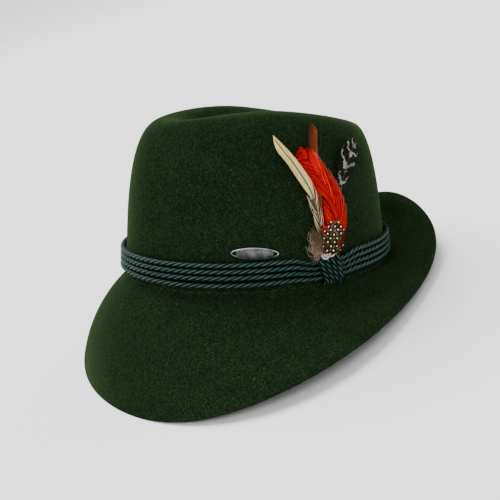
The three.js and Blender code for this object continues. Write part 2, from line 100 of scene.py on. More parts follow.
WRAP_ROUND = 0.6  # how far inside the rows' top and foot a wrap starts to round their corners
WRAP_ENDS = (0.8, 1.8)  # how far off the felt the two outermost points of a wrap lie
WRAP_STEPS = 46
CORNER_STEPS = 7
PAINTED_LIGHT_RISE = 0.45  # how far up from outwards the plies' side with the painted highlight looks
PAINTED_LIGHT_FINENESS = 4  # places to each point of a cord's middle line, for measuring the painted light
SHADED_GROOVE = (0.5, 0.74)  # a place is in a groove, with painted shade, below this share of the cord's radius

# Badge
BADGE_LENGTH = 33
BADGE_WIDTH = 8
BADGE_THICKNESS = 1.3
BADGE_TURN = 66.4
BADGE_HEIGHT = 28
BADGE_TILT = 3.6
BADGE_TIP = 0.16
BADGE_DOME = 0.7
BADGE_EDGE = BADGE_THICKNESS - BADGE_DOME
TIP_ROUNDING = 14  # power of the curve that rounds off the tips
HOLE_FROM = 12.4  # along the badge from its middle
HOLE_TO = 15.75
HOLE_MARGIN = 0.75
HOLE_STEPS = 7
BADGE_END = 0.998  # share of the half length that the plate reaches
RIM_RADIUS = 0.26
RIM_STEPS = 128

# Stitches below the rows
STITCH_HEIGHT = 3.35
STITCH_DROP = 1.2  # lower by this at the front
STITCH_PITCH = 6
STITCH_LENGTH = 3.3
STITCH_RADIUS = 0.26
STITCH_STEPS = 7
STITCH_ARCH = 0.338  # how far its middle stands over its ends
STITCH_SINK = 0.12  # how deep its ends sit in the felt

# Plume
PLUME_LENGTH = 0.738 * CROWN_HEIGHT
PLUME_LIFT = 11
PLUME_STIFFNESS = 0.2
VANE_THICKNESS = 0.7
SHAFT_RISE = 0.3
SHAFT_END = 0.94
SHAFT_STEPS = 40
DOWN_THICKNESS = 1.5
BARB_STEPS = 7
BARB_TAPER = 0.75  # share of its width that a barb loses towards its tip
BARB_RIDGE = 0.14
BARB_LIFT = 0.08
BARB_SCATTER = 0.4  # how unevenly barbs leave the shaft, as a share of their pitch
LAST_BARB = 0.985  # share of the shaft's length at which the topmost barbs leave it
VANE_CAMBER = 0.27  # how far a vane's middle stands over its edges
BUNDLE_LIFT = 0.3
BUNDLE_SCATTER = 0.22
STREAK_LIFT = 0.16
STREAK_WIDENING = 0.5
TONE_SCATTER = 0.16
LOOSE_STEP = 0.05  # half the length over which bundles get looser, as a share of the shaft's
DOWN_BARBS = 460
DOWN_ROOTS = (0.6, 5)  # how far the down's roots are spread aside and upwards
DOWN_ENDS = (1.1, 1.5)  # how far its tips are scattered aside and upwards
DOWN_ACROSS = (-0.05, 0.7)  # middle and scatter of its tips across the vane
DOWN_LIMITS = (-1.3, 1.1)
DOWN_CROWDING = 0.8  # below 1, more barbs are long
DOWN_CURL = 3
DOWN_SWAY = (0.7, 0.5)  # how much of the curl goes aside and upwards
DOWN_RIPPLE = 0.9
RIPPLE_TURN = 8  # radians of it along a barb
RIPPLE_START = 9  # radians over which it may start
DOWN_PUFF = 1.4
PUFF_ARCH = (0.4, 2)  # its start and its length, in radians of a wave
DOWN_WIDTH = 0.12
DOWN_TAPER = 0.7
DOWN_RIDGE = 0.13


def in_frame(points):
    """Points of the level hat, in mm, as points of the frame, in metres."""
    x, y, z = np.moveaxis(np.asarray(points, float), -1, 0)
    level, raised = cos(LEAN), sin(LEAN)
    leaned = np.stack([x, y * level + z * raised, z * level - y * raised], -1)
    return (leaned + np.array(HAT_PLACE)) * MM


def turned(direction):
    """A direction of the level hat, leaned back with it."""
    return Matrix.Rotation(-LEAN, 3, "X") @ Vector(direction)


def around(stations, turn):
    """A crown measure at any turn, as one smooth wave through its stations, the same on both sides."""
    last = len(stations) - 1
    ends = [0.5 if index in (0, last) else 1 for index in range(last + 1)]
    value = np.zeros_like(turn)
    for wave in range(last + 1):
        weight = sum(
            ends[index] * station * cos(wave * index * pi / last)
            for index, station in enumerate(stations)
        )
        value += 2 / last * ends[wave] * weight * np.cos(wave * turn)
    return value


def wall_point(turn, rise):
    """Outside of the crown's wall, rise 0 at the bend and 1 at the crest."""
    taper = around(WALL_TAPERS, turn)
    crest = around(CREST_SIZES, turn)
    shoulder = 1 - (1 - rise ** SHOULDER_POWER) ** (1 / SHOULDER_POWER)
    share = 1 - taper * rise - (1 - taper - crest) * shoulder
    height = CROWN_HEIGHT * around(CREST_HEIGHTS, turn) * rise
    return np.stack([HALF_WIDTH * share * np.sin(turn), -HALF_LENGTH * share * np.cos(turn), height], -1)


def unit(vectors):
    """Directions of vectors, each 1 long."""
    return vectors / np.linalg.norm(vectors, axis=-1, keepdims=True)


def on_crown(turn, height, lift):
    """Place on the crown at a turn and a height above the bend, lifted off the felt."""
    turn, height, lift = np.broadcast_arrays(*(np.asarray(v, float) for v in (turn, height, lift)))
    top = CROWN_HEIGHT * around(CREST_HEIGHTS, turn)
    rise = np.clip(height / top, 1e-4, 1 - 2 * SLOPE_STEP)
    along = wall_point(turn + SLOPE_STEP, rise) - wall_point(turn - SLOPE_STEP, rise)
    up = wall_point(turn, rise + SLOPE_STEP) - wall_point(turn, rise)
    return wall_point(turn, rise) + unit(np.cross(along, up)) * lift[..., None]


def turn_from(start, aside):
    """Turn of a place that lies a distance behind another one, around the wearer's left side."""
    return radians(start) + np.asarray(aside, float) / HALF_LENGTH


def smoothstep(value, low, high):
    """0 below low, 1 above high and a soft step between them."""
    share = np.clip((value - low) / (high - low), 0, 1)
    return share * share * (3 - 2 * share)


def row_at(row, turn):
    """Diameter of a row and the height of its middle, both drawn in by the knot."""
    half_knot = KNOT_WRAPS * WRAP_PITCH / 2 + WRAP_LEAN
    away = np.degrees(np.abs(turn - radians(KNOT_TURN)) - half_knot / HALF_LENGTH)
    grip = 1 - smoothstep(away, 0, KNOT_RELEASE)
    diameter = CORD_DIAMETER * (1 + (KNOT_SQUEEZE - 1) * grip)
    middle = BAND_HEIGHT + BAND_BACK_RISE * (1 - np.cos(turn)) / 2 - KNOT_DROP * grip
    apart = (ROW_COUNT - 1) / 2 - row
    slack_away = (turn - radians(SLACK_TURN)) / radians(SLACK_SPREAD)
    slack = ROW_SLACK * np.exp(-slack_away ** 2) if row == ROW_COUNT - 1 else 0
    return diameter, middle + apart * (diameter + GAP) - slack


def grip_band():
    """Top, foot and depth of the cord rows under the knot."""
    turn = np.array(radians(KNOT_TURN))
    top_diameter, top = row_at(0, turn)
    foot_diameter, foot = row_at(ROW_COUNT - 1, turn)
    return float(top + top_diameter / 2), float(foot - foot_diameter / 2), float(top_diameter)


def travelled(route):
    """Way along a route to each of its points."""
    return np.concatenate([[0], np.cumsum(np.linalg.norm(np.diff(route, axis=0), axis=1))])


def nearest(targets, places):
    """For each place, which target is nearest to it and how far away that is."""
    tree = KDTree(len(targets))
    for index, target in enumerate(targets):
        tree.insert(target, index)
    tree.balance()
    found = [tree.find(place)[1:] for place in places]
    index, distance = zip(*found)
    return np.array(index), np.array(distance)


def deselect():
    """Nothing selected, so that an operator acts on the next primitive alone."""
    bpy.ops.object.select_all(action="DESELECT")


def select(*pieces):
    """Only these pieces selected, the first one active."""
    deselect()
    for piece in pieces:
        piece.select_set(True)
    bpy.context.view_layer.objects.active = pieces[0]


def modify(piece, kind, **settings):
    """A modifier put on the active piece and applied."""
    bpy.ops.object.modifier_add(type=kind)
    for key, value in settings.items():
        setattr(piece.modifiers[0], key, value)
    bpy.ops.object.modifier_apply(modifier=piece.modifiers[0].name)


def edit_all():
    """The active piece in edit mode, all of it selected."""
    bpy.ops.object.mode_set(mode="EDIT")
    bpy.ops.mesh.select_all(action="SELECT")


def face_outwards(piece, doubles=0):
    """All faces turned outwards, after points within a distance in mm are merged."""
    select(piece)
    edit_all()
    if doubles:
        bpy.ops.mesh.remove_doubles(threshold=doubles * MM)
    bpy.ops.mesh.normals_make_consistent(inside=False)
    bpy.ops.object.mode_set(mode="OBJECT")


def keep_values(mesh, name, values):
    """A number for each point, kept on the mesh for its finish."""
    mesh.attributes.new(name, "FLOAT", "POINT").data.foreach_set("value", values)


def vertex_rows(mesh, what):
    """Places ("co") or directions ("normal") of a mesh's points, a row for each."""
    return np.array([getattr(vertex, what) for vertex in mesh.vertices], float)


def threads(name, routes, finish, closed=False, sides=8):
    """Round threads, each through its points with a radius at each, in metres, as one mesh."""
    deselect()
    bpy.ops.curve.primitive_nurbs_path_add()
    piece = bpy.context.object
    curve = piece.data
    curve.splines.clear()
    for points, radii in routes:
        spline = curve.splines.new("POLY")
        spline.points.add(len(points) - 1)
        spline.points.foreach_set("co", np.c_[points, np.ones(len(points))].ravel())
        spline.points.foreach_set("radius", np.broadcast_to(radii, len(points)).copy())
        spline.use_cyclic_u = closed
    curve.dimensions = "3D"
    curve.bevel_depth = 1
    curve.bevel_resolution = (sides - 4) // 2
    curve.use_fill_caps = not closed
    bpy.ops.object.convert(target="MESH")
    bpy.ops.object.shade_smooth()
    piece.name = name
    piece.data.name = name
    piece.data.materials.append(finish)
    return piece


def join(name, pieces):
    """Several pieces as one."""
    select(*pieces)
    bpy.ops.object.join()
    pieces[0].name = name
    pieces[0].data.name = name
    return pieces[0]


def finish_piece(piece, slot, *replaced):
    """The piece rides on the hat and stands for solids; the slot is not used."""
    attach(piece, "root")
    if replaced:
        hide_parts(*replaced)


class Finish:
    """A procedural material under construction: its node tree and its surface shader."""

    def __init__(self, name, roughness, metallic=0, specular=0.5):
        self.material = bpy.data.materials.new(name)
        self.material.use_nodes = True
        self.tree = self.material.node_tree
        self.shader = self.tree.nodes["Principled BSDF"]
        self.set("Roughness", roughness)
        self.set("Metallic", metallic)
        self.set("Specular IOR Level", specular)

    def set(self, socket, value):
        self.shader.inputs[socket].default_value = value

    def node(self, kind, inputs=(), output=0, **settings):
        """One output of a new node, whose inputs are joined to sockets or set to values."""
        made = self.tree.nodes.new("ShaderNode" + kind)
        for key, value in settings.items():
            setattr(made, key, value)
        for socket, value in dict(inputs).items():
            if isinstance(value, bpy.types.NodeSocket):
                self.tree.links.new(value, made.inputs[socket])
            else:
                made.inputs[socket].default_value = value
        return made.outputs[output]

    def link(self, output, socket):
        self.tree.links.new(output, self.shader.inputs[socket])

    def place(self):
        """Object coordinates, in metres."""
        return self.node("TexCoord", output="Object")

    def uv(self, name="UVMap"):
        return self.node("UVMap", uv_map=name)

    def attribute(self, name):
        """A number kept on the mesh, such as the tone of each barb."""
        return self.node("Attribute", output="Fac", attribute_name=name)

    def noise(self, where, scale, detail=2, roughness=0.5):
        inputs = {"Vector": where, "Scale": scale, "Detail": detail, "Roughness": roughness}
        return self.node("TexNoise", inputs)

    def math(self, operation, *values):
        return self.node("Math", enumerate(values), operation=operation)

    def times(self, value, factor, offset=0):
        """A value times a factor, or two masks at once, with an offset added."""
        return self.math("MULTIPLY_ADD", value, factor, offset)

    def ramp(self, factor, *stops):
        """A colour or grey value for a factor, through stops of a position and a colour."""
        colours = self.node("ValToRGB", {0: factor})
        elements = colours.node.color_ramp.elements
        while len(elements) < len(stops):
            elements.new(0.5)
        for element, (position, colour) in zip(elements, stops):
            element.position = position
            element.color = (*colour, 1) if isinstance(colour, tuple) else (colour, colour, colour, 1)
        return colours

    def mix(self, factor, one, other):
        """One colour at factor 0, the other at 1."""
        return self.node("Mix", {0: factor, 6: one, 7: other}, output=2, data_type="RGBA")

    def spread(self, value, from_low, from_high, low, high):
        """A value's range drawn out to another range."""
        return self.node("MapRange", enumerate((value, from_low, from_high, low, high)))

    def paint(self, colour, brightness):
        """The surface's colour, made brighter or darker."""
        inputs = {"Vector": colour, "Scale": brightness}
        self.link(self.node("VectorMath", inputs, operation="SCALE"), "Base Color")

    def parts(self, vector):
        return self.node("SeparateXYZ", {0: vector}).node.outputs

    def bump(self, height, distance, strength=1):
        inputs = {"Height": height, "Distance": distance, "Strength": strength}
        self.link(self.node("Bump", inputs), "Normal")


def felt_finish(name, dark, middle, light):
    """Short-napped wool felt: a fine melange of darker and lighter fibres, here olive and there bluer."""
    finish = Finish(name, 0.95, specular=0)
    finish.set("Sheen Weight", 0.1)
    finish.set("Sheen Roughness", 0.3)
    finish.set("Sheen Tint", (0.62, 1, 0.4, 1))
    where = finish.place()
    fibres = finish.noise(where, 1700, 3, 0.75)
    flecks = finish.noise(where, 760, 2, 0.6)
    cloud = finish.noise(where, 60, 3, 0.55)
    grain = finish.times(flecks, 0.55, finish.times(fibres, 0.45))
    blend = finish.times(cloud, 0.2, finish.times(grain, 1.95, -0.575))
    colour = finish.ramp(blend, (0.2, dark), (0.5, middle), (0.85, light))
    warmth = finish.ramp(finish.noise(where, 300, 2, 0.6), (0.35, 0), (0.65, 1))
    tint = finish.mix(warmth, (1.14, 1, 0.8, 1), (0.88, 1, 1.14, 1))
    tinted = finish.node("VectorMath", {0: colour, 1: tint}, operation="MULTIPLY")
    lint = finish.ramp(finish.noise(where, 520, 0), (0.86, 0), (0.88, 0.4))
    finish.link(finish.mix(lint, tinted, (0.08, 0.1, 0.07, 1)), "Base Color")
    finish.bump(grain, 0.0005, 0.7)
    return finish.material


def cord_finish():
    """Silky twisted cord: teal, with a paler grey teal painted highlight where a ply faces outwards and
    nearly black painted shade in the grooves.
    """
    finish = Finish("cord_twist", 0.45, specular=0.08)
    along, across, _ = finish.parts(finish.uv())
    lines = finish.times(along, 900, finish.times(across, 12))
    yarn = finish.math("SINE", finish.times(lines, 2 * pi))
    mottle = finish.times(finish.noise(finish.place(), 260, 2, 0.6), 0.1, -0.05)
    shade = finish.math("ADD", finish.attribute("painted_light"), mottle)
    # painted light: black painted shade in the grooves up to a grey teal painted highlight where a ply faces
    # outwards and up
    colour = finish.ramp(
        finish.times(yarn, 0.01, shade),
        (0.6, (0.0002, 0.001, 0.0007)),
        (0.8, (0.003, 0.019, 0.013)),
        (0.9, (0.018, 0.056, 0.042)),
        (1, (0.062, 0.108, 0.088)),
    )
    finish.link(colour, "Base Color")
    finish.bump(yarn, 0.00015, 0.5)
    return finish.material


def uneven_finish(name, roughness, specular, scale, dark, light):
    """The start of a finish that varies a little between two tones, and the noise it varies by."""
    finish = Finish(name, roughness, specular=specular)
    tone = finish.noise(finish.place(), scale)
    finish.link(finish.ramp(tone, (0.3, dark), (0.7, light)), "Base Color")
    return finish, tone


def stitch_finish():
    """Dull dark sewing thread."""
    dark, light = (0.01, 0.01, 0.007), (0.026, 0.026, 0.02)
    finish, tone = uneven_finish("stitch_thread", 0.8, 0.2, 900, dark, light)
    finish.bump(tone, 0.0002)
    return finish.material


def silver_finish(name, dark, bright, roughness, foot, top):
    """Antique silver: bright where it is rubbed, tarnished in patches, with a painted reflection: painted
    shade towards its foot and a painted highlight towards its top.
    """
    finish = Finish(name, roughness, metallic=1)
    where = finish.place()
    patch = finish.noise(where, 150, 3, 0.6)
    scratch = finish.noise(where, 2600)
    colour = finish.ramp(finish.times(scratch, 0.3, patch), (0.4, dark), (0.82, bright))
    # painted reflection: brightness runs from the foot factor, painted shade, at the bottom to the top
    # factor, painted highlight, at the top
    finish.paint(colour, finish.spread(finish.attribute("rise"), 0, 1, foot, top))
    finish.bump(finish.math("ADD", patch, finish.times(scratch, 0.4)), 0.0001, 0.5)
    return finish.material


def quill_finish(name, dark, light):
    """Smooth horn of a feather's shaft."""
    return uneven_finish(name, 0.45, 0.4, 350, dark, light)[0].material


def feather_finish(name, roughness=0.6):
    """The start of a vane's finish, with the places along and across the vane."""
    finish = Finish(name, roughness, specular=0.06)
    along, across, _ = finish.parts(finish.uv())
    return finish, along, across


def barbs_painted(finish, colour, low, high):
    """The finished vane: each barb lighter or darker by its own tone, with fine streaks along it."""
    streak = finish.noise(finish.place(), 1400)
    mixed = finish.times(streak, 0.4, finish.times(finish.attribute("tone"), 0.6))
    finish.paint(colour, finish.spread(mixed, 0.2, 0.8, low, high))
    return finish.material


def cream_finish():
    """Cream vane, greener on its left, tan lower down on its right, grey white at its foot."""
    finish, along, across = feather_finish("cream_barbs")
    left = finish.ramp(
        along,
        (0.12, (0.36, 0.32, 0.25)),
        (0.4, (0.47, 0.46, 0.25)),
        (0.92, (0.8, 0.66, 0.2)),
    )
    right = finish.ramp(
        along,
        (0.12, (0.36, 0.3, 0.24)),
        (0.35, (0.52, 0.4, 0.25)),
        (0.55, (0.58, 0.48, 0.25)),
        (0.75, (0.68, 0.57, 0.23)),
    )
    colour = finish.mix(finish.ramp(across, (0.46, 0), (0.54, 1)), left, right)
    pink = finish.times(finish.ramp(across, (0.66, 0), (0.92, 0.9)),
                        finish.ramp(along, (0.15, 0), (0.25, 1), (0.5, 1), (0.66, 0)))
    colour = finish.mix(pink, colour, (0.62, 0.16, 0.09, 1))
    streak = finish.ramp(finish.attribute("tone"), (0.02, 1), (0.06, 0))
    colour = finish.mix(streak, colour, (0.04, 0.026, 0.014, 1))
    return barbs_painted(finish, colour, 0.65, 1.2)


def red_finish():
    """Dyed red hackle, dark at its ragged top and pinker where its right edge thins out."""
    finish, along, across = feather_finish("red_barbs")
    red, duller, dark = ((amount, 0.001, 0.001) for amount in (0.64, 0.56, 0.34))
    colour = finish.ramp(along, (0.2, red), (0.85, duller), (1, dark))
    edge = finish.times(finish.ramp(across, (0.8, 0), (0.97, 0.85)),
                        finish.ramp(along, (0.3, 0), (0.42, 1), (0.74, 1), (0.84, 0)))
    colour = finish.mix(edge, colour, (0.5, 0.2, 0.13, 1))
    return barbs_painted(finish, colour, 0.24, 1.26)


def brown_finish():
    """Rust brown, lighter along its right edge."""
    finish, _, across = feather_finish("brown_barbs")
    dark, middle, light = (0.06, 0.012, 0.003), (0.11, 0.026, 0.006), (0.2, 0.045, 0.012)
    colour = finish.ramp(across, (0.2, dark), (0.55, middle), (0.9, light))
    return barbs_painted(finish, colour, 0.6, 1.3)


def barred_finish():
    """Black barbs with a few grey white marks pointing up the shaft."""
    finish, along, across = feather_finish("barred_barbs")
    out = finish.math("ABSOLUTE", finish.times(across, 2, -1))
    chevron = finish.times(out, -0.8, finish.times(along, 7.4))
    wobble = finish.times(finish.noise(finish.place(), 330, 1), 1.1, chevron)
    bars = finish.math("FRACT", wobble)
    white = finish.ramp(bars, (0, 0), (0.6, 0), (0.68, 1), (0.88, 1), (0.96, 0))
    pale = finish.ramp(finish.attribute("tone"), (0.25, (0.05, 0.048, 0.035)), (0.75, (0.31, 0.31, 0.25)))
    finish.link(finish.mix(white, (0.004, 0.003, 0.002, 1), pale), "Base Color")
    return finish.material


def spotted_finish():
    """Olive with cream spots in slanting rows, each in a black ring. Red shows at its upper left."""
    finish, along, across = feather_finish("spotted_barbs")
    slanted = finish.node("Mapping", {"Vector": finish.uv("flat"), "Rotation": (0, 0, 0.9)})
    rows = {"Vector": slanted, "Scale": 27, "Randomness": 0.24}
    spot = finish.node("TexVoronoi", rows, voronoi_dimensions="2D")
    dark, olive, pale = (0.02, 0.012, 0.003), (0.075, 0.055, 0.018), (0.2, 0.16, 0.085)
    ground = finish.ramp(finish.noise(finish.place(), 420), (0.34, dark), (0.5, olive), (0.72, pale))
    corner = finish.times(finish.ramp(across, (0.2, 1), (0.42, 0)),
                          finish.ramp(along, (0.5, 0), (0.62, 1)))
    ground = finish.mix(corner, ground, (0.45, 0.012, 0.004, 1))
    ringed = finish.mix(finish.ramp(spot, (0.42, 1), (0.54, 0)), ground, (0.004, 0.002, 0.001, 1))
    colour = finish.mix(finish.ramp(spot, (0.12, 1), (0.18, 0)), ringed, (0.95, 0.8, 0.5, 1))
    return barbs_painted(finish, colour, 0.7, 1.15)


def down_finish():
    """Soft down, grey pink at its left, beige to brown at its right, a few barbs dark."""
    finish, _, across = feather_finish("down_barbs", 0.8)
    patch = finish.times(finish.noise(finish.place(), 420), 0.5, -0.25)
    pink, beige, brown = (0.42, 0.33, 0.27), (0.27, 0.175, 0.1), (0.12, 0.07, 0.03)
    colour = finish.ramp(finish.math("ADD", across, patch), (0.02, pink), (0.2, beige), (0.45, brown))
    dark = finish.ramp(finish.attribute("tone"), (0.8, 0), (0.9, 0.85))
    colour = finish.mix(dark, colour, (0.03, 0.016, 0.008, 1))
    return barbs_painted(finish, colour, 0.5, 1.4)


def roll_edge(shell):
    """Turns the brim's outermost band softly down and out, except where the brim stands on the floor."""
    mesh = shell.data
    places = vertex_rows(mesh, "co")
    normals = vertex_rows(mesh, "normal")
    cut = sorted({index for face in mesh.polygons if face.material_index for index in face.vertices})
    from_edge = nearest(places[cut], places)[1] / MM
    on_top = (from_edge > FELT_WALL) & (from_edge < ROLL_SAMPLE) & (normals[:, 2] > FACING_UP)
    band = np.flatnonzero(from_edge < ROLL_WIDTH)
    upwards = normals[on_top][nearest(places[on_top], places[band])[0]]
    sets_in = smoothstep(places[band, 2] / MM, *ROLL_HEIGHTS)
    drop = ROLL_DROP * MM * (1 - from_edge[band] / ROLL_WIDTH) ** 2 * sets_in
    places[band] -= upwards * drop[:, None]
    mesh.vertices.foreach_set("co", places.ravel())
    mesh.update()


def felt_shell():
    """The felt, smoothed from its solid, with a soft cut edge all round the brim."""
    solid = nodes["felt_body"]
    shell = solid.copy()
    shell.data = solid.data.copy()
    shell.parent = None
    for key in list(shell.keys()):
        del shell[key]
    bpy.context.scene.collection.objects.link(shell)
    shell.name = "felt_shell"
    mesh = shell.data
    mesh.name = "felt_shell"
    mesh.materials.clear()
    mesh.materials.append(
        felt_finish("green_felt", (0.0018, 0.0046, 0.0016), (0.0056, 0.0122, 0.0052), (0.017, 0.031, 0.015)))
    mesh.materials.append(
        felt_finish("cut_felt", (0.0035, 0.006, 0.0028), (0.01, 0.014, 0.007), (0.026, 0.034, 0.019)))
    select(shell)
    edit_all()
    bpy.ops.mesh.remove_doubles(threshold=0.02 * MM)
    bpy.ops.mesh.tris_convert_to_quads(face_threshold=radians(60), shape_threshold=radians(80))
    bpy.ops.mesh.select_all(action="DESELECT")
    bpy.ops.mesh.select_mode(type="EDGE")
    bpy.ops.mesh.edges_select_sharp(sharpness=radians(62))
    bpy.ops.object.mode_set(mode="OBJECT")
    sharp = {edge.key for edge in mesh.edges if edge.select}
    for face in mesh.polygons:
        face.material_index = int(sum(key in sharp for key in face.edge_keys) >= 2)
    bpy.ops.object.mode_set(mode="EDIT")
    bpy.ops.mesh.bevel(offset=EDGE_BEVEL * MM, segments=2, affect="EDGES")
    bpy.ops.object.mode_set(mode="OBJECT")
    modify(shell, "SUBSURF", levels=2, render_levels=2)
    bpy.ops.object.shade_smooth()
    roll_edge(shell)
    finish_piece(shell, "felt", "felt_body")


def twisted(route, normals, diameter, turns, phase):
    """The plies of a cord along a route, in mm: where each goes and how thick it is, in metres.

    They rise to the right as one looks at a level cord.
    """
    tangents = unit(np.gradient(route, axis=0))
    sideways = unit(np.cross(tangents, normals))
    outwards = np.cross(sideways, tangents)
    diameter = np.broadcast_to(diameter, len(route))
    radius = diameter[:, None] * (1 - PLY_SHARE) / 2
    travel = travelled(route)
    plies = []
    for ply in range(PLIES):
        angle = -2 * pi * (turns * travel / travel[-1] + ply / PLIES + phase)[:, None]
        ring = outwards * np.cos(angle) + sideways * np.sin(angle)
        plies.append((in_frame(route + ring * radius), diameter * PLY_SHARE / 2 * MM))
    return plies


def mark_painted_light(piece, cords):
    """Keeps painted light on twisted cords, by how each place faces: 1, a painted highlight, where a ply
    looks outwards, 0, painted shade, deep in a groove.

    Each cord is its route, its outward directions and its diameter.
    """
    places, outwards, radii = [], [], []
    for route, normals, diameter in cords:
        at = np.linspace(0, len(route) - 1, PAINTED_LIGHT_FINENESS * len(route))
        place = in_frame(route)
        outward = unit(in_frame(route + normals) - place) + PAINTED_LIGHT_RISE * np.array((0, 0, 1))
        places.append(sampled(place, at))
        outwards.append(unit(sampled(outward, at)))
        radii.append(sampled(np.broadcast_to(diameter, len(route)) / 2 * MM, at))
    index, distance = nearest(np.concatenate(places), vertex_rows(piece.data, "co"))
    outward = np.concatenate(outwards)[index]
    # painted shade: near 0 deep in the grooves between plies
    unshaded = smoothstep(distance / np.concatenate(radii)[index], *SHADED_GROOVE)
    # painted highlight: brighter the more a place looks outwards and up
    painted_light = np.maximum(0, np.sum(vertex_rows(piece.data, "normal") * outward, axis=1))
    keep_values(piece.data, "painted_light", painted_light * unshaded)


def sampled(values, at):
    """Rows of values at places between them, by straight lines."""
    low = np.minimum(at.astype(int), len(values) - 2)
    share = at - low
    if values.ndim > 1:
        share = share[:, None]
    return values[low] * (1 - share) + values[low + 1] * share


def cord_rows(finish):
    """The rows of twisted cord, each a whole loop around the crown."""
    turns = round(GIRTH / PLY_LEAD)
    turn = np.linspace(0, 2 * pi, turns * PLY_STEPS + 1)
    for row in range(ROW_COUNT):
        diameter, height = row_at(row, turn)
        route = on_crown(turn, height, GAP + diameter / 2)
        normals = on_crown(turn, height, GAP + diameter / 2 + 1) - route
        plies = twisted(route, normals, diameter, turns, ROW_PHASE * row)
        loops = [(points[:-1], radii[:-1]) for points, radii in plies]
        piece = threads(f"cord_twist_{row + 1}", loops, finish, closed=True, sides=CORD_SIDES)
        # painted highlight and groove shade for the cord's colour
        mark_painted_light(piece, [(route, normals, diameter)])
        finish_piece(piece, "cord", f"cord_row_{row + 1}")


def knot(finish):
    """The wraps of cord over the rows, each up from under them, over the front and back in below."""
    top, foot, depth = grip_band()
    half = WRAP_CORD / 2
    clear = WRAP_CLEARANCE * half
    front = GAP + depth + clear
    corner = np.linspace(0, QUARTER, CORNER_STEPS)
    rise = np.concatenate([
        [top + clear] * 2,
        top - WRAP_ROUND + (clear + WRAP_ROUND) * np.cos(corner),
        foot + WRAP_ROUND - (clear + WRAP_ROUND) * np.sin(corner),
        [foot - clear] * 2,
    ])
    lift = np.concatenate([
        WRAP_ENDS,
        front - half + half * np.sin(corner),
        front - half + half * np.cos(corner),
        WRAP_ENDS[::-1],
    ])
    travel = travelled(np.stack([rise, lift], -1))
    even = np.linspace(0, travel[-1], WRAP_STEPS)
    rise = np.interp(even, travel, rise)
    lift = np.interp(even, travel, lift)
    climb = np.clip((rise - foot) / (top - foot), 0, 1)
    plies, cords = [], []
    for wrap in range(KNOT_WRAPS):
        place = (wrap - (KNOT_WRAPS - 1) / 2) * WRAP_PITCH
        aside = place * (WRAP_FAN + (1 - WRAP_FAN) * climb) + WRAP_LEAN * (1 - 2 * climb)
        turn = turn_from(KNOT_TURN, aside)
        route = on_crown(turn, rise, lift)
        beside = on_crown(turn + SLOPE_STEP, rise, lift) - route
        normals = np.cross(np.gradient(route, axis=0), beside)
        plies += twisted(route, normals, WRAP_CORD, travel[-1] / KNOT_LEAD, WRAP_PHASE * wrap)
        cords.append((route, normals, WRAP_CORD))
    piece = threads("knot_twist", plies, finish, sides=CORD_SIDES)
    # painted highlight and groove shade for the knot's colour
    mark_painted_light(piece, cords)
    finish_piece(piece, "cord", "cord_knot")


def stitches():
    """The dashes of a seam around the crown, in a line below the rows."""
    count = round(GIRTH / STITCH_PITCH)
    share = np.linspace(-0.5, 0.5, STITCH_STEPS)
    routes = []
    for index in range(count):
        turn = 2 * pi * index / count + share * STITCH_LENGTH / HALF_LENGTH
        height = STITCH_HEIGHT - STITCH_DROP * (1 + np.cos(turn)) / 2
        lift = STITCH_ARCH * np.cos(share * pi) - STITCH_SINK
        routes.append((in_frame(on_crown(turn, height, lift)), STITCH_RADIUS * MM))
    finish_piece(threads("stitch_dashes", routes, stitch_finish(), sides=6), "felt")


def on_badge(along, across, lift):
    """Place on the badge, along and across it from its middle, lifted off the felt."""
    tilt = radians(BADGE_TILT)
    aside = along * cos(tilt) + across * sin(tilt)
    height = BADGE_HEIGHT + across * cos(tilt) - along * sin(tilt)
    return in_frame(on_crown(turn_from(BADGE_TURN, aside), height, GAP + lift))


def badge_half_height(share):
    """Half height of the badge's outline at a share of its half length, its tips rounded off."""
    oval = BADGE_TIP + (0.5 - BADGE_TIP) * (1 - share ** 2)
    return BADGE_WIDTH * oval * np.sqrt(1 - share ** TIP_ROUNDING)


def badge_hole():
    """Outline of the right hole: three-cornered, with two sides that follow the badge's outline."""
    along = np.linspace(HOLE_TO, HOLE_FROM, HOLE_STEPS)
    half = np.maximum(badge_half_height(2 * along / BADGE_LENGTH) - HOLE_MARGIN, 0)
    return np.concatenate([np.stack([along, -half], -1), np.stack([along, half], -1)[:0:-1]])


def badge_plate(hole):
    """The oval plate, domed and pierced near both ends."""
    deselect()
    bpy.ops.mesh.primitive_grid_add(x_subdivisions=120, y_subdivisions=24, size=2)
    plate = bpy.context.object
    for vertex in plate.data.vertices:
        share = sin(vertex.co.x * QUARTER) * BADGE_END
        across = badge_half_height(share) * sin(vertex.co.y * QUARTER)
        vertex.co = (BADGE_LENGTH / 2 * share, across, 0)
    modify(plate, "SOLIDIFY", thickness=BADGE_EDGE, offset=1)
    corner_angle = 2 * pi / len(hole)
    for end in (-1, 1):
        deselect()
        bpy.ops.mesh.primitive_cylinder_add(vertices=len(hole), radius=1, depth=4 * BADGE_THICKNESS)
        cutter = bpy.context.object
        for vertex in cutter.data.vertices:
            corner = round(atan2(vertex.co.x, vertex.co.y) / corner_angle) % len(hole)
            vertex.co = (*(end * hole[corner]), vertex.co.z)
        select(plate)
        modify(plate, "BOOLEAN", object=cutter, operation="DIFFERENCE")
        bpy.data.objects.remove(cutter)
    for vertex in plate.data.vertices:
        x, y, z = vertex.co
        share = 2 * x / BADGE_LENGTH
        out = min(1, abs(y) / max(badge_half_height(share), 1e-6))
        dome = BADGE_DOME * (1 - out ** 2) * (1 - share ** 4)
        vertex.co = on_badge(x, y, z + dome if z > BADGE_EDGE / 2 else z)
    face_outwards(plate, doubles=0.002)
    bpy.ops.object.shade_smooth_by_angle(angle=radians(40))
    dark, bright = (0.006, 0.0065, 0.0065), (0.1, 0.105, 0.105)
    plate.data.materials.clear()
    # painted reflection: shade 0.08 at the foot, highlight 1.95 at the top
    plate.data.materials.append(silver_finish("badge_field", dark, bright, 0.3, 0.08, 1.95))
    return plate


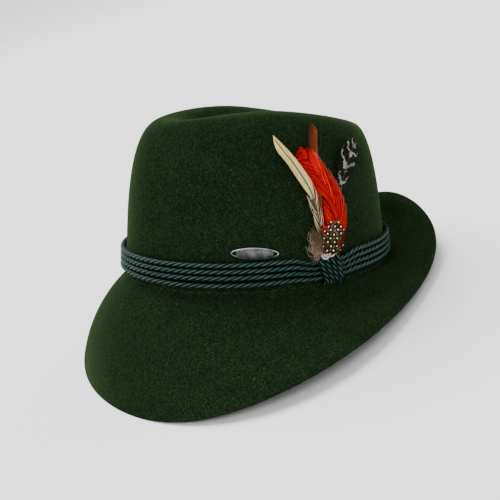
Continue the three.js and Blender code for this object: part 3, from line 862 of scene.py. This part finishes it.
def badge_rims(hole):
    """The fine raised rim along the plate's edge and a finer one around each hole."""
    angle = np.linspace(0, 2 * pi, RIM_STEPS + 1)[:-1]
    share = np.cos(angle) * BADGE_END
    across = np.maximum(badge_half_height(share) - RIM_RADIUS, 0) * np.sign(np.sin(angle))
    along = (BADGE_LENGTH / 2 - RIM_RADIUS) * share
    routes = [(on_badge(along, across, BADGE_EDGE), RIM_RADIUS * MM)]
    for end in (-1, 1):
        routes.append((on_badge(end * hole[:, 0], hole[:, 1], BADGE_EDGE), RIM_RADIUS / 2 * MM))
    # painted reflection: shade 0.05 at the foot, highlight 1.9 at the top
    finish = silver_finish("badge_edge", (0.1, 0.11, 0.11), (0.4, 0.42, 0.42), 0.2, 0.05, 1.9)
    return threads("badge_rim", routes, finish, closed=True)


def badge():
    """The oval badge over the cord, plate and rims as one piece."""
    hole = badge_hole()
    piece = join("badge_oval", [badge_plate(hole), badge_rims(hole)])
    middle = on_badge(0, 0, 0)
    upwards = on_badge(0, BADGE_WIDTH, 0) - middle
    # share up the badge, 0 at its foot and 1 at its top, for the painted reflection
    painted_light_rise = 0.5 + (vertex_rows(piece.data, "co") - middle) @ upwards / np.dot(upwards, upwards)
    keep_values(piece.data, "rise", painted_light_rise)
    finish_piece(piece, "badge_metal", "badge_plate")


# The feathers, in layers from the felt outwards. Their root, length and width are shares of the plume's
# length. The rows along each one hold how far aside and up it is, as shares of its own length, and how far
# it reaches left and right, as shares of its width.
FEATHERS = {
    "barred": dict(layer=0, root=0.02, length=0.95, width=0.21, rows=[
        (0, 0, 0.05, 0.05), (0.06, 0.2, 0.09, 0.09), (0.14, 0.44, 0.32, 0.28), (0.215, 0.6, 0.56, 0.34),
        (0.32, 0.74, 0.5, 0.4), (0.41, 0.82, 0.34, 0.34), (0.46, 0.88, 0, 0)]),
    "brown": dict(layer=0, root=-0.023, length=0.955, width=0.098, rows=[
        (0, 0, 0.08, 0.08), (-0.01, 0.2, 0.1, 0.1), (-0.03, 0.45, 0.28, 0.28), (-0.04, 0.65, 0.42, 0.42),
        (-0.04, 0.79, 0.46, 0.46), (-0.022, 0.9, 0.46, 0.46), (0.015, 0.975, 0.4, 0.42), (0.03, 1, 0, 0)]),
    "red": dict(layer=1, root=-0.005, length=0.86, width=0.29, rows=[
        (0, 0, 0.05, 0.06), (0.06, 0.07, 0.24, 0.34), (0.11, 0.18, 0.42, 0.36), (0.13, 0.35, 0.46, 0.46),
        (0.07, 0.54, 0.44, 0.44), (-0.045, 0.71, 0.4, 0.42), (-0.15, 0.83, 0.46, 0.4),
        (-0.205, 0.905, 0.42, 0.3), (-0.235, 0.95, 0, 0)]),
    "cream": dict(layer=2, root=-0.035, length=1, width=0.112, rows=[
        (0, 0, 0.08, 0.08), (-0.02, 0.12, 0.14, 0.14), (-0.042, 0.24, 0.34, 0.38),
        (-0.065, 0.365, 0.46, 0.5), (-0.1, 0.48, 0.44, 0.5), (-0.15, 0.575, 0.38, 0.44),
        (-0.25, 0.715, 0.4, 0.36), (-0.36, 0.83, 0.3, 0.26), (-0.405, 0.895, 0, 0)]),
    "down": dict(layer=3, root=-0.051, length=0.21, width=0.163, rows=[
        (0, 0, 0.16, 0.16), (-0.12, 0.22, 0.5, 0.42), (-0.28, 0.52, 0.5, 0.5), (-0.42, 0.82, 0.34, 0.38),
        (-0.48, 0.98, 0, 0)]),
    "spotted": dict(layer=4, root=-0.023, length=0.273, width=0.279, rows=[
        (0, 0, 0.1, 0.12), (0.06, 0.2, 0.28, 0.36), (0.15, 0.5, 0.46, 0.42), (0.22, 0.8, 0.42, 0.34),
        (0.27, 1, 0, 0)]),
}
# How thick the feathers of each layer are
LAYERS = (VANE_THICKNESS, VANE_THICKNESS, VANE_THICKNESS, DOWN_THICKNESS, VANE_THICKNESS)


def plume_point(aside, height, depth):
    """Place in the plume, measured from the knot's middle, at a depth over the innermost feather's back."""
    climb = np.maximum(0, height - grip_band()[0]) / CROWN_HEIGHT
    spring = PLUME_LIFT * climb ** 2 + PLUME_STIFFNESS * np.square(aside) / (2 * HALF_LENGTH)
    return in_frame(on_crown(turn_from(KNOT_TURN, aside), height, GAP + depth + spring))


def track(values, share):
    """A column of a feather's rows at any share of its length, on one smooth curve."""
    values = np.asarray(values, float)
    last = len(values) - 1
    place = np.clip(share, 0, 1) * last
    index = np.minimum(place.astype(int), last - 1)
    t = place - index
    before, start = values[np.maximum(index - 1, 0)], values[index]
    end, after = values[index + 1], values[np.minimum(index + 2, last)]
    cubic = 2 * before - 5 * start + 4 * end - after + t * (3 * (start - end) + after - before)
    return start + 0.5 * t * (end - before + t * cubic)


def rightwards(dx, dy):
    """The direction, 1 long, to the right of a way over the felt."""
    norm = np.maximum(np.hypot(dx, dy), 1e-9)
    return dy / norm, -dx / norm


def vane_point(plan, share, across):
    """Aside and height, in mm, of a place on a vane: -1 across is its left edge and 1 its right one."""
    aside, rise, left, right = zip(*plan["rows"])
    x = plan["root"] + plan["length"] * track(aside, share)
    y = plan["foot"] + plan["length"] * track(rise, share)
    right_x, right_y = rightwards(*(
        track(column, share + SLOPE_STEP) - track(column, share - SLOPE_STEP) for column in (aside, rise)
    ))
    reach = np.where(across < 0, track(left, share), track(right, share)) * plan["width"] * across
    return x + right_x * reach, y + right_y * reach


def ribbons(name, aside, height, depth, half_width, ridge, uv, tone):
    """Barbs as closed slivers of three-cornered section; the arrays hold one row for each barb."""
    right_x, right_y = rightwards(np.gradient(aside, axis=1), np.gradient(height, axis=1))
    points = np.stack([
        plume_point(aside + right_x * half_width, height + right_y * half_width, depth),
        plume_point(aside, height, depth + ridge),
        plume_point(aside - right_x * half_width, height - right_y * half_width, depth),
    ], axis=2)
    barbs, steps = aside.shape
    index = np.arange(barbs * steps * 3).reshape(barbs, steps, 3)
    faces = []
    for corner in range(3):
        one, other = index[:, :, corner], index[:, :, (corner + 1) % 3]
        faces += np.stack([one[:, :-1], other[:, :-1], other[:, 1:], one[:, 1:]], -1).reshape(-1, 4).tolist()
    faces += index[:, 0, ::-1].tolist() + index[:, -1].tolist()
    mesh = bpy.data.meshes.new(name)
    mesh.from_pydata(points.reshape(-1, 3).tolist(), [], faces)
    corner_vertices = np.empty(len(mesh.loops), int)
    mesh.loops.foreach_get("vertex_index", corner_vertices)
    maps = {"UVMap": uv, "flat": np.stack([aside / 100 + 0.5, height / 100], -1)}
    for map_name, values in maps.items():
        spread = np.repeat(values[:, :, None], 3, axis=2).reshape(-1, 2)
        mesh.uv_layers.new(name=map_name).data.foreach_set("uv", spread[corner_vertices].ravel())
    keep_values(mesh, "tone", np.repeat(tone, steps * 3))
    piece = bpy.data.objects.new(name, mesh)
    bpy.context.scene.collection.objects.link(piece)
    face_outwards(piece)
    return piece


def layer_depth(layer):
    """Depth of a layer's back over the innermost feathers' backs."""
    return sum(thickness + SHAFT_RISE + GAP for thickness in LAYERS[:layer])


def bundles(random, roots, count):
    """Which clinging bundle each barb is in, for bundles of uneven size, and the middle of its bundle."""
    edges = (np.arange(1, count) + random.normal(0, BUNDLE_SCATTER, count - 1)) / count
    span = (roots - roots[0]) / (roots[-1] - roots[0])
    bundle = np.searchsorted(np.sort(edges), span)
    members = [roots[bundle == index] for index in range(count)]
    middle = np.array([roots_in.mean() if len(roots_in) else 0 for roots_in in members])
    return bundle, middle[bundle]


def vane(name, plan, seed, count, clumps, reach, sweep, fray, gather, half_width, lean=0.02, start=0.04,
         jitter=0.1, tones=0.2, flare=0, loose=(0, 0, 1), streaks=(0, 0), notches=()):
    """Both sides of a vane: barbs that leave the shaft and bend towards its tip, in clinging bundles.

    Barbs leave the shaft from a share of its length on and reach forwards by another. Fray shortens
    them, gather draws them to their bundle's middle, and lean, jitter and tones make them uneven.
    Flare bends the lowest ones sideways. Loose is two shares of the length and how many times looser
    the bundles are between them. Streaks is the share of barbs there and elsewhere that lie on top,
    with tone 0. A notch is a place along and across the vane, its size and how much of a barb it takes.
    """
    random = np.random.default_rng(seed)
    t = np.linspace(0, 1, BARB_STEPS + 1)[None]
    low, high, factor = loose
    sides = []
    for side in (-1, 1):
        even = np.linspace(start, LAST_BARB, count)
        roots = np.sort(even + random.normal(0, BARB_SCATTER / count, count))
        bundle, middle = bundles(random, roots, clumps)
        inside = smoothstep(roots, low - LOOSE_STEP, low + LOOSE_STEP)
        inside = inside * (1 - smoothstep(roots, high - LOOSE_STEP, high + LOOSE_STEP))
        slack = 1 + (factor - 1) * inside
        bundle_lean = random.normal(0, lean, clumps)[bundle] * slack
        bundle_edge = 1 - np.abs(random.normal(0, fray, clumps))[bundle] * slack
        bundle_tone = random.normal(0, tones, clumps)[bundle]
        bundle_lift = random.random(clumps)[bundle]
        edge = np.clip(bundle_edge - fray * slack * random.random(count) ** 2, 0.1, 1)
        stretch = reach * (1 + jitter * random.normal(size=count)) + bundle_lean
        bent = 1 - flare * (1 - smoothstep(roots, 0, 1.5 * reach))
        stretch = stretch * np.minimum(1, (1 - roots) / (2 * reach)) * bent
        cut = np.ones(count)
        for along, across, size, depth in notches:
            away = np.hypot(np.minimum(roots + stretch, 1) - along, (side * edge - across) * size)
            cut -= depth * np.clip(1 - away / size, 0, 1)
        run = t * cut[:, None]
        pull = ((middle - roots) * gather * slack)[:, None] * run
        along = np.clip(roots[:, None] + (stretch[:, None] + pull) * run, 0, 1)
        across = side * edge[:, None] * run ** sweep
        aside, height = vane_point(plan, along, across)
        lift = layer_depth(plan["layer"]) + VANE_CAMBER * (1 - across ** 2)
        lift = lift + BARB_LIFT * random.random((count, 1)) + BUNDLE_LIFT * bundle_lift[:, None] * run
        streak = random.random(count) < np.where(inside > 0.5, *streaks)
        lift = lift + STREAK_LIFT * streak[:, None]
        width = half_width * (1 - BARB_TAPER * t ** 3) * (1 + STREAK_WIDENING * streak[:, None])
        uv = np.stack([along, 0.5 + 0.5 * across], -1)
        tone = np.clip(0.5 + bundle_tone + random.normal(0, TONE_SCATTER, count), 0.1, 1) * ~streak
        sides.append(ribbons(f"{name}_side", aside, height, lift, width, BARB_RIDGE, uv, tone))
    return join(name, sides)


def shaft(name, plan, finish, thick, thin, rise):
    """The shaft of a feather, tapering from its root to near its tip, at a rise over the vane's back."""
    share = np.linspace(0, SHAFT_END, SHAFT_STEPS)
    aside, height = vane_point(plan, share, np.zeros_like(share))
    places = plume_point(aside, height, layer_depth(plan["layer"]) + rise)
    return threads(name, [(places, np.interp(share, [0, 1], [thick, thin]) * MM)], finish)


def feather(colour, seed, barb_finish, shaft_finish, shaft_size, **barbs):
    """One feather of the plume: barbs on both sides of a shaft."""
    plan = FEATHERS[colour]
    name = f"plume_{colour}"
    barb_part = vane(name, plan, seed, **barbs)
    barb_part.data.materials.append(barb_finish)
    piece = join(name, [barb_part, shaft(f"{name}_shaft", plan, shaft_finish, *shaft_size)])
    finish_piece(piece, f"{colour}_feather", f"feather_{colour}")


def down(seed):
    """Down at the plume's foot: fine curling barbs that spread from the quills."""
    plan = FEATHERS["down"]
    random = np.random.default_rng(seed)
    t = np.linspace(0, 1, BARB_STEPS + 1)[None]
    share = random.random(DOWN_BARBS) ** DOWN_CROWDING
    across = np.clip(random.normal(*DOWN_ACROSS, DOWN_BARBS), *DOWN_LIMITS)
    ends = vane_point(plan, share, across)
    end_x, end_y = (end + random.normal(0, spread, DOWN_BARBS) for end, spread in zip(ends, DOWN_ENDS))
    start_x = plan["root"] + random.normal(0, DOWN_ROOTS[0], DOWN_BARBS)
    start_y = plan["foot"] + DOWN_ROOTS[1] * random.random(DOWN_BARBS) * share
    curl = random.normal(0, DOWN_CURL, (DOWN_BARBS, 1)) * np.sin(t * pi)
    curl = curl + DOWN_RIPPLE * np.sin(t * RIPPLE_TURN + RIPPLE_START * random.random((DOWN_BARBS, 1)))
    aside = start_x[:, None] + (end_x - start_x)[:, None] * t + curl * DOWN_SWAY[0]
    height = start_y[:, None] + (end_y - start_y)[:, None] * t + curl * DOWN_SWAY[1]
    puff = DOWN_PUFF * random.random((DOWN_BARBS, 1)) * np.sin(PUFF_ARCH[0] + t * PUFF_ARCH[1])
    width = np.full_like(aside, DOWN_WIDTH) * (1 - DOWN_TAPER * t)
    uv = np.stack(np.broadcast_arrays(t, 0.5 + 0.5 * across[:, None]), -1)
    tone = random.random(DOWN_BARBS)
    depth = layer_depth(plan["layer"]) + puff
    piece = ribbons("plume_down", aside, height, depth, width, DOWN_RIDGE, uv, tone)
    piece.data.materials.append(down_finish())
    finish_piece(piece, "beige_down", "feather_down")


# The white quills where they bend into the knot: aside and height of their points, in mm
QUILL_BENDS = (
    ((-7.9, 24.4), (-7.5, 22.4), (-6.3, 21.1), (-4.7, 20.9), (-3.3, 21.7), (-2.2, 23.0)),
    ((-6.0, 24.2), (-5.4, 22.8), (-4.2, 22.7), (-3.2, 24.0)),
    ((-1.2, 21.6), (0.8, 21.9), (2.6, 23.2)),
)
QUILL_DEPTH = 6.4
QUILL_STEP = 0.5  # each one lies deeper than the last by this
QUILL_RADIUS = 0.68
QUILL_TAPER = 0.34


def quills():
    """The white ends of the quills, gathered where they bend into the knot."""
    routes = []
    for order, bend in enumerate(QUILL_BENDS):
        share = np.linspace(0, 1, 6 * len(bend))
        aside, height = (track(column, share) for column in zip(*bend))
        radii = (QUILL_RADIUS - QUILL_TAPER * np.abs(2 * share - 1) ** 2) * MM
        routes.append((plume_point(aside, height, QUILL_DEPTH - QUILL_STEP * order), radii))
    white = quill_finish("white_quill", (0.3, 0.25, 0.2), (0.62, 0.56, 0.5))
    finish_piece(threads("quill_ends", routes, white), "cream_feather")


def plume():
    """All the feathers, from the felt outwards."""
    foot = grip_band()[0] + 2 * GAP + KNOT_RISE
    for plan in FEATHERS.values():
        plan["foot"] = foot
        for size in ("root", "length", "width"):
            plan[size] *= PLUME_LENGTH
    brown_shaft = quill_finish("brown_shaft", (0.1, 0.045, 0.014), (0.2, 0.1, 0.035))
    cream_shaft = quill_finish("cream_shaft", (0.035, 0.016, 0.006), (0.08, 0.04, 0.015))
    red_shaft = quill_finish("red_shaft", (0.45, 0.01, 0.008), (0.7, 0.02, 0.015))
    dark_shaft = quill_finish("dark_shaft", (0.02, 0.014, 0.01), (0.06, 0.045, 0.03))
    feather("barred", 11, barred_finish(), dark_shaft, (0.3, 0.12, 0.3), count=150, clumps=8, reach=0.2,
            sweep=0.9, fray=0.14, gather=0.95, lean=0.05, start=0.32, half_width=0.24)
    feather("brown", 12, brown_finish(), brown_shaft, (0.3, 0.1, 0.1), count=200, clumps=8, reach=0.16,
            sweep=0.8, fray=0.03, gather=0.3, lean=0.01, half_width=0.2)
    feather("red", 13, red_finish(), red_shaft, (0.3, 0.1, 0.0), count=400, clumps=17, reach=0.42,
            sweep=1.0, fray=0.3, gather=0.9, lean=0.05, half_width=0.2, jitter=0.2, tones=0.28,
            flare=0.75, loose=(-0.1, 0.25, 0.25), streaks=(0.03, 0.07),
            notches=((0.93, 1, 0.08, 0.6), (0.9, -1, 0.05, 0.5)))
    feather("cream", 14, cream_finish(), cream_shaft, (0.6, 0.32, 0.6), count=330, clumps=22, reach=0.14,
            sweep=0.8, fray=0.03, gather=0.35, lean=0.008, half_width=0.17, tones=0.26,
            loose=(0.16, 0.45, 4), streaks=(0.13, 0), notches=((0.56, -1, 0.05, 0.8),))
    feather("spotted", 15, spotted_finish(), dark_shaft, (0.3, 0.12, 0.1), count=180, clumps=9, reach=0.32,
            sweep=0.85, fray=0.1, gather=0.5, half_width=0.22, flare=0.6)
    down(16)
    quills()


# Camera, fitted to the photograph in the level hat's frame
CAMERA_AIM = (0, 0, 40)
CAMERA_TURN = radians(64.099)
CAMERA_ELEVATION = radians(11.156)
CAMERA_ROLL = radians(-1.596)
CAMERA_DISTANCE = 586.23
PIXELS_PER_MM = 1.32739  # at the aim
PICTURE_SIDE = 500
AIM_PIXEL = (256.99, 209.68)


def camera():
    """The camera at the photograph's angle to the hat."""
    level, raised = cos(CAMERA_ELEVATION), sin(CAMERA_ELEVATION)
    back = Vector((sin(CAMERA_TURN) * level, -cos(CAMERA_TURN) * level, raised))
    right = Vector((cos(CAMERA_TURN), sin(CAMERA_TURN), 0))
    up = back.cross(right)
    rolled_right = cos(CAMERA_ROLL) * right + sin(CAMERA_ROLL) * up
    rolled_up = cos(CAMERA_ROLL) * up - sin(CAMERA_ROLL) * right
    place = Vector(in_frame(np.array(CAMERA_AIM) + CAMERA_DISTANCE * np.array(back)))
    turn = Matrix([turned(rolled_right), turned(rolled_up), turned(back)]).transposed()
    bpy.ops.object.camera_add()
    eye = bpy.context.object
    eye.matrix_world = Matrix.Translation(place) @ turn.to_4x4()
    lens = eye.data
    lens.sensor_width = 36
    lens.lens = PIXELS_PER_MM * CAMERA_DISTANCE * lens.sensor_width / PICTURE_SIDE
    lens.shift_x = (PICTURE_SIDE / 2 - AIM_PIXEL[0]) / PICTURE_SIDE
    lens.shift_y = (AIM_PIXEL[1] - PICTURE_SIDE / 2) / PICTURE_SIDE
    lens.clip_end = 100
    bpy.context.scene.camera = eye


# Light: where it comes from, as turn and elevation in degrees, its strength and its spread
SURROUND_STRENGTH = 0.45
LIGHTS = {
    "top_light": (282, 60, 5.9, 48),
    "front_light": (58, 48, 1.4, 32),
    "left_light": (-45, 40, 0.1, 40),
    "right_light": (185, 28, 0.6, 40),
}
FLOOR_GAP = 0.0002  # between the floor and the hat, in metres
# The studio's floor runs into a low wall: its radius and height, in metres
STUDIO_PROFILE = ((6.0, 0.0), (7.0, 0.12), (7.8, 0.5), (8.3, 1.1), (8.6, 1.9), (8.7, 2.8))


def sun_light(name, turn, elevation, strength, spread):
    """A distant soft light from a direction, in degrees."""
    turn, elevation = radians(turn), radians(elevation)
    level = cos(elevation)
    source = Vector((sin(turn) * level, -cos(turn) * level, sin(elevation)))
    bpy.ops.object.light_add(type="SUN", location=source)
    light = bpy.context.object
    light.name = name
    light.rotation_euler = (-source).to_track_quat("-Z", "Y").to_euler()
    light.data.energy = strength
    light.data.angle = radians(spread)


def studio():
    """A plain pale floor, a white surround and soft lights."""
    deselect()
    radius = STUDIO_PROFILE[0][0]
    place = (0, 0, -FLOOR_GAP)
    bpy.ops.mesh.primitive_circle_add(vertices=128, radius=radius, fill_type="NGON", location=place)
    floor = bpy.context.object
    floor.name = "studio_floor"
    edit_all()
    bpy.ops.mesh.select_mode(type="EDGE")
    bpy.ops.mesh.region_to_loop()
    for (near, low), (far, high) in zip(STUDIO_PROFILE, STUDIO_PROFILE[1:]):
        bpy.ops.mesh.extrude_region_move(TRANSFORM_OT_translate={"value": (0, 0, high - low)})
        bpy.ops.transform.resize(value=(far / near, far / near, 1), center_override=(0, 0, 0))
    bpy.ops.object.mode_set(mode="OBJECT")
    bpy.ops.object.shade_smooth()
    pale = Finish("pale_floor", 0.9, specular=0.1)
    speckle = pale.noise(pale.place(), 3)
    pale.link(pale.ramp(speckle, (0, 0.86), (1, 0.9)), "Base Color")
    floor.data.materials.append(pale.material)
    world = bpy.data.worlds.new("white_surround")
    bpy.context.scene.world = world
    world.use_nodes = True
    background = world.node_tree.nodes["Background"].inputs
    background["Color"].default_value = (1, 1, 1, 1)
    background["Strength"].default_value = SURROUND_STRENGTH
    for name, (turn, elevation, strength, spread) in LIGHTS.items():
        sun_light(name, turn, elevation, strength, spread)


camera()
felt_shell()
cord = cord_finish()
cord_rows(cord)
knot(cord)
stitches()
badge()
plume()
studio()
